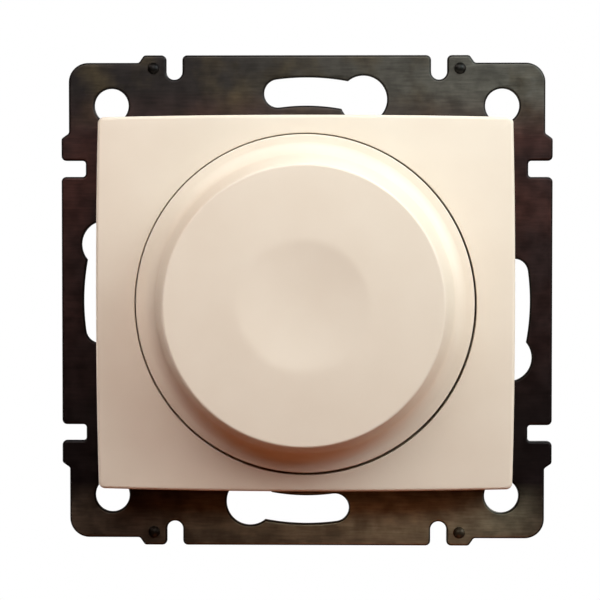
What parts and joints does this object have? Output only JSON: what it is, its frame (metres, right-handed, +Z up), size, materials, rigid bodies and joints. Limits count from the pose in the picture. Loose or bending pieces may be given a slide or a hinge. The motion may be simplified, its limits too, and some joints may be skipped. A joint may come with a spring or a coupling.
{
  "type": "rotary dimmer switch",
  "caption": "Flush wall box rotary dimmer: push and turn knob in an ivory cover plate on a dark steel mounting strap, with housing, electronics, terminals and claws behind.",
  "frame": {"origin": "centre of the mounting strap's back face, on the knob's axis", "axes": "+Y into the wall along the knob's axis, +Z up, +X to the right seen from the room; the knob faces -Y"},
  "size_m": [0.0706, 0.045, 0.0706],
  "materials": {
    "ivory_plastic": "satin to glossy moulded ivory",
    "strap_steel": "dark oxidised sheet steel",
    "zinc_steel": "zinc plated",
    "brass": "plain turned or stamped brass",
    "tinned_copper": "tinned",
    "housing_plastic": "matt moulded light grey",
    "black_plastic": "matt moulded black",
    "board_laminate": "green solder resist",
    "phenolic": "brown phenolic laminate",
    "ferrite": "grey black sintered ferrite",
    "enamel_wire": "enamelled copper wire",
    "aluminium": "mill finish",
    "film_box": "yellow moulded box",
    "resistor_paint": "lacquered",
    "clear_glass": "clear",
    "spring_steel": "bright spring steel"
  },
  "bodies": {
    "insert": {"mounting_strap": "strap_steel", "cover_plate": "ivory_plastic", "threaded_bushing": "brass", "bushing_nut": "zinc_steel", "plate_washer": "zinc_steel", "plate_nut": "zinc_steel", "housing_cover": "housing_plastic", "rear_housing": "housing_plastic", "housing_screw_left": "zinc_steel", "housing_screw_right": "zinc_steel", "housing_screw_top": "zinc_steel", "pot_case": "black_plastic", "pot_wafer": "phenolic", "pot_tag_left": "tinned_copper", "pot_tag_middle": "tinned_copper", "pot_tag_right": "tinned_copper", "switch_case": "black_plastic", "switch_base": "black_plastic", "switch_contact_left": "brass", "switch_contact_right": "brass", "switch_spring": "spring_steel", "circuit_board": "board_laminate", "choke_core": "ferrite", "choke_winding": "enamel_wire", "film_capacitor": "film_box", "timing_capacitor": "film_box", "triac": "black_plastic", "heat_sink": "aluminium", "triac_screw": "zinc_steel", "resistor_upper": "resistor_paint", "resistor_lower": "resistor_paint", "trigger_diode": "black_plastic", "fuse_tube": "clear_glass", "fuse_wire": "tinned_copper", "fuse_cap_upper": "zinc_steel", "fuse_cap_lower": "zinc_steel", "fuse_clip_upper": "brass", "fuse_clip_lower": "brass", "contact_bar_1": "tinned_copper", "contact_bar_2": "tinned_copper", "contact_bar_3": "tinned_copper"},
    "push_carrier": {"switch_plunger": "housing_plastic", "switch_bridge": "brass"},
    "knob_and_shaft": {"knob": "ivory_plastic", "knob_clip": "spring_steel", "control_shaft": "zinc_steel"},
    "pot_moving_part": {"pot_rotor": "housing_plastic", "pot_wiper": "spring_steel"},
    "claw_screw_left": {"claw_screw_left": "zinc_steel"},
    "claw_left": {"claw_left": "zinc_steel"},
    "claw_screw_right": {"claw_screw_right": "zinc_steel"},
    "claw_right": {"claw_right": "zinc_steel"},
    "terminal_screw_1": {"terminal_screw_1": "zinc_steel"},
    "terminal_cage_1": {"terminal_cage_1": "brass"},
    "terminal_screw_2": {"terminal_screw_2": "zinc_steel"},
    "terminal_cage_2": {"terminal_cage_2": "brass"},
    "terminal_screw_3": {"terminal_screw_3": "zinc_steel"},
    "terminal_cage_3": {"terminal_cage_3": "brass"}
  },
  "joints": [
    {"name": "knob_push", "type": "slide", "parent": "insert", "child": "push_carrier", "axis": [0, 1, 0], "range_m": [0, 0.0015], "stiffness_N_per_m": 3000, "deforming": ["switch_spring"]},
    {"name": "knob_turn", "type": "hinge", "parent": "push_carrier", "child": "knob_and_shaft", "pos_m": [0, 0, 0], "axis": [0, 1, 0], "range_deg": [0, 290]},
    {"name": "pot_turn", "type": "hinge", "parent": "insert", "child": "pot_moving_part", "pos_m": [0, 0, 0], "axis": [0, 1, 0], "range_deg": [0, 290]},
    {"name": "claw_screw_left_turn", "type": "hinge", "parent": "insert", "child": "claw_screw_left", "pos_m": [-0.0226, 0, 0], "axis": [0, 1, 0], "range_deg": [0, 720]},
    {"name": "claw_left_swing", "type": "hinge", "parent": "insert", "child": "claw_left", "pos_m": [-0.0262, 0.0215, 0], "axis": [0, 0, -1], "range_deg": [0, 15]},
    {"name": "claw_screw_right_turn", "type": "hinge", "parent": "insert", "child": "claw_screw_right", "pos_m": [0.0226, 0, 0], "axis": [0, 1, 0], "range_deg": [0, 720]},
    {"name": "claw_right_swing", "type": "hinge", "parent": "insert", "child": "claw_right", "pos_m": [0.0262, 0.0215, 0], "axis": [0, 0, 1], "range_deg": [0, 15]},
    {"name": "terminal_screw_1_turn", "type": "hinge", "parent": "insert", "child": "terminal_screw_1", "pos_m": [-0.011, 0.0257, -0.0173], "axis": [0, -1, 0], "range_deg": [0, 1515]},
    {"name": "terminal_cage_1_slide", "type": "slide", "parent": "insert", "child": "terminal_cage_1", "axis": [0, 1, 0], "range_m": [0, 0.0021]},
    {"name": "terminal_screw_2_turn", "type": "hinge", "parent": "insert", "child": "terminal_screw_2", "pos_m": [0, 0.0257, -0.0173], "axis": [0, -1, 0], "range_deg": [0, 1515]},
    {"name": "terminal_cage_2_slide", "type": "slide", "parent": "insert", "child": "terminal_cage_2", "axis": [0, 1, 0], "range_m": [0, 0.0021]},
    {"name": "terminal_screw_3_turn", "type": "hinge", "parent": "insert", "child": "terminal_screw_3", "pos_m": [0.011, 0.0257, -0.0173], "axis": [0, -1, 0], "range_deg": [0, 1515]},
    {"name": "terminal_cage_3_slide", "type": "slide", "parent": "insert", "child": "terminal_cage_3", "axis": [0, 1, 0], "range_m": [0, 0.0021]}
  ],
  "couplings": [
    {"joint": "pot_turn", "follows": "knob_turn", "ratio": 1},
    {"joint": "claw_left_swing", "follows": "claw_screw_left_turn", "ratio": 0.020831},
    {"joint": "claw_right_swing", "follows": "claw_screw_right_turn", "ratio": 0.020831},
    {"joint": "terminal_screw_1_turn", "follows": "terminal_cage_1_slide", "rad_per_m": 12566},
    {"joint": "terminal_screw_2_turn", "follows": "terminal_cage_2_slide", "rad_per_m": 12566},
    {"joint": "terminal_screw_3_turn", "follows": "terminal_cage_3_slide", "rad_per_m": 12566}
  ]
}
